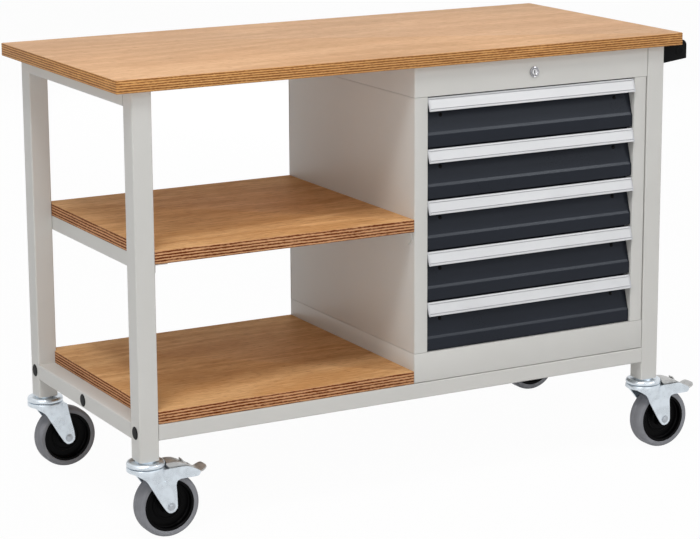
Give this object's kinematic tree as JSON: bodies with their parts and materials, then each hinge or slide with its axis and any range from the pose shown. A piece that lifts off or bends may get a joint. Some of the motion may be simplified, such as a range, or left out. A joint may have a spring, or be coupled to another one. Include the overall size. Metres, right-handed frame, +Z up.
{
  "type": "mobile workbench",
  "caption": "Mobile workbench with a plywood worktop, open shelves, a lockable drawer cabinet, a push handle and swivel casters with brakes.",
  "frame": {"origin": "on the floor, under the middle of the bench's overall box with the casters as drawn", "axes": "+X to the right along the worktop, +Y from the drawer side to the back, +Z up"},
  "size_m": [1.315, 0.573, 0.88],
  "materials": {
    "beech_plywood": "satin lacquer",
    "light_grey_paint": "powder coat",
    "anthracite_paint": "powder coat",
    "aluminium": "anodised",
    "zinc_steel": "zinc plated",
    "chrome": "polished",
    "grey_rubber": "matte",
    "black_plastic": "matte",
    "black_paint": "powder coat"
  },
  "bodies": {
    "frame": {"worktop": "beech_plywood", "mid_shelf": "beech_plywood", "bottom_shelf": "beech_plywood", "leg_front_left": "light_grey_paint", "leg_rear_left": "light_grey_paint", "leg_front_right": "light_grey_paint", "leg_rear_right": "light_grey_paint", "end_rails": "light_grey_paint", "long_rails": "light_grey_paint", "shelf_angles": "light_grey_paint", "hole_plugs": "black_plastic", "frame_bolts": "zinc_steel", "wood_screws": "zinc_steel", "cabinet_plinth": "light_grey_paint", "cabinet_top_frame": "light_grey_paint", "cabinet_left_side": "light_grey_paint", "cabinet_right_side": "light_grey_paint", "cabinet_back": "light_grey_paint", "cabinet_inner_frame": "zinc_steel", "fixed_runners": "zinc_steel", "lock_barrel": "chrome", "push_bar_brackets": "black_plastic", "push_bar": "black_paint", "caster_heads": "zinc_steel"},
    "drawer_1": {"drawer_1_tray": "light_grey_paint", "drawer_1_front": "anthracite_paint", "drawer_1_grip": "aluminium"},
    "drawer_1_runner": {"drawer_1_slides": "zinc_steel"},
    "drawer_2": {"drawer_2_tray": "light_grey_paint", "drawer_2_front": "anthracite_paint", "drawer_2_grip": "aluminium"},
    "drawer_2_runner": {"drawer_2_slides": "zinc_steel"},
    "drawer_3": {"drawer_3_tray": "light_grey_paint", "drawer_3_front": "anthracite_paint", "drawer_3_grip": "aluminium"},
    "drawer_3_runner": {"drawer_3_slides": "zinc_steel"},
    "drawer_4": {"drawer_4_tray": "light_grey_paint", "drawer_4_front": "anthracite_paint", "drawer_4_grip": "aluminium"},
    "drawer_4_runner": {"drawer_4_slides": "zinc_steel"},
    "drawer_5": {"drawer_5_tray": "light_grey_paint", "drawer_5_front": "anthracite_paint", "drawer_5_grip": "aluminium"},
    "drawer_5_runner": {"drawer_5_slides": "zinc_steel"},
    "lock_core": {"lock_core": "chrome"},
    "locking_bar": {"locking_bar": "zinc_steel"},
    "caster_front_left": {"caster_front_left_fork": "zinc_steel"},
    "wheel_front_left": {"caster_front_left_hub": "black_plastic", "caster_front_left_tyre": "grey_rubber"},
    "pedal_front_left": {"caster_front_left_pedal": "zinc_steel"},
    "caster_rear_left": {"caster_rear_left_fork": "zinc_steel"},
    "wheel_rear_left": {"caster_rear_left_hub": "black_plastic", "caster_rear_left_tyre": "grey_rubber"},
    "caster_front_right": {"caster_front_right_fork": "zinc_steel"},
    "wheel_front_right": {"caster_front_right_hub": "black_plastic", "caster_front_right_tyre": "grey_rubber"},
    "pedal_front_right": {"caster_front_right_pedal": "zinc_steel"},
    "caster_rear_right": {"caster_rear_right_fork": "zinc_steel"},
    "wheel_rear_right": {"caster_rear_right_hub": "black_plastic", "caster_rear_right_tyre": "grey_rubber"}
  },
  "joints": [
    {"name": "drawer_1_slide", "type": "slide", "parent": "frame", "child": "drawer_1", "axis": [0, -1, 0], "range_m": [0, 0.4]},
    {"name": "drawer_1_runner_slide", "type": "slide", "parent": "frame", "child": "drawer_1_runner", "axis": [0, -1, 0], "range_m": [0, 0.2]},
    {"name": "drawer_2_slide", "type": "slide", "parent": "frame", "child": "drawer_2", "axis": [0, -1, 0], "range_m": [0, 0.4]},
    {"name": "drawer_2_runner_slide", "type": "slide", "parent": "frame", "child": "drawer_2_runner", "axis": [0, -1, 0], "range_m": [0, 0.2]},
    {"name": "drawer_3_slide", "type": "slide", "parent": "frame", "child": "drawer_3", "axis": [0, -1, 0], "range_m": [0, 0.4]},
    {"name": "drawer_3_runner_slide", "type": "slide", "parent": "frame", "child": "drawer_3_runner", "axis": [0, -1, 0], "range_m": [0, 0.2]},
    {"name": "drawer_4_slide", "type": "slide", "parent": "frame", "child": "drawer_4", "axis": [0, -1, 0], "range_m": [0, 0.4]},
    {"name": "drawer_4_runner_slide", "type": "slide", "parent": "frame", "child": "drawer_4_runner", "axis": [0, -1, 0], "range_m": [0, 0.2]},
    {"name": "drawer_5_slide", "type": "slide", "parent": "frame", "child": "drawer_5", "axis": [0, -1, 0], "range_m": [0, 0.4]},
    {"name": "drawer_5_runner_slide", "type": "slide", "parent": "frame", "child": "drawer_5_runner", "axis": [0, -1, 0], "range_m": [0, 0.2]},
    {"name": "lock_turn", "type": "hinge", "parent": "frame", "child": "lock_core", "pos_m": [0.2425, -0.27, 0.825], "axis": [0, 1, 0], "range_deg": [0, 90]},
    {"name": "locking_bar_lift", "type": "slide", "parent": "frame", "child": "locking_bar", "axis": [0, 0, 1], "range_m": [0, 0.01697]},
    {"name": "caster_front_left_swivel", "type": "hinge", "parent": "frame", "child": "caster_front_left", "pos_m": [-0.6025, -0.25, 0.133], "axis": [0, 0, 1], "continuous": true},
    {"name": "wheel_front_left_spin", "type": "hinge", "parent": "caster_front_left", "child": "wheel_front_left", "pos_m": [-0.5625, -0.25, 0.0625], "axis": [0, 1, 0], "continuous": true},
    {"name": "pedal_front_left_press", "type": "hinge", "parent": "caster_front_left", "child": "pedal_front_left", "pos_m": [-0.5445, -0.25, 0.1315], "axis": [0, 1, 0], "range_deg": [0, 12]},
    {"name": "caster_rear_left_swivel", "type": "hinge", "parent": "frame", "child": "caster_rear_left", "pos_m": [-0.6025, 0.25, 0.133], "axis": [0, 0, 1], "continuous": true},
    {"name": "wheel_rear_left_spin", "type": "hinge", "parent": "caster_rear_left", "child": "wheel_rear_left", "pos_m": [-0.5625, 0.25, 0.0625], "axis": [0, 1, 0], "continuous": true},
    {"name": "caster_front_right_swivel", "type": "hinge", "parent": "frame", "child": "caster_front_right", "pos_m": [0.5375, -0.25, 0.133], "axis": [0, 0, 1], "continuous": true},
    {"name": "wheel_front_right_spin", "type": "hinge", "parent": "caster_front_right", "child": "wheel_front_right", "pos_m": [0.5775, -0.25, 0.0625], "axis": [0, 1, 0], "continuous": true},
    {"name": "pedal_front_right_press", "type": "hinge", "parent": "caster_front_right", "child": "pedal_front_right", "pos_m": [0.5955, -0.25, 0.1315], "axis": [0, 1, 0], "range_deg": [0, 12]},
    {"name": "caster_rear_right_swivel", "type": "hinge", "parent": "frame", "child": "caster_rear_right", "pos_m": [0.5375, 0.25, 0.133], "axis": [0, 0, 1], "continuous": true},
    {"name": "wheel_rear_right_spin", "type": "hinge", "parent": "caster_rear_right", "child": "wheel_rear_right", "pos_m": [0.5775, 0.25, 0.0625], "axis": [0, 1, 0], "continuous": true}
  ],
  "couplings": [
    {"joint": "drawer_1_runner_slide", "follows": "drawer_1_slide", "ratio": 0.5},
    {"joint": "drawer_2_runner_slide", "follows": "drawer_2_slide", "ratio": 0.5},
    {"joint": "drawer_3_runner_slide", "follows": "drawer_3_slide", "ratio": 0.5},
    {"joint": "drawer_4_runner_slide", "follows": "drawer_4_slide", "ratio": 0.5},
    {"joint": "drawer_5_runner_slide", "follows": "drawer_5_slide", "ratio": 0.5},
    {"joint": "lock_turn", "follows": "locking_bar_lift", "rad_per_m": 92.56}
  ]
}
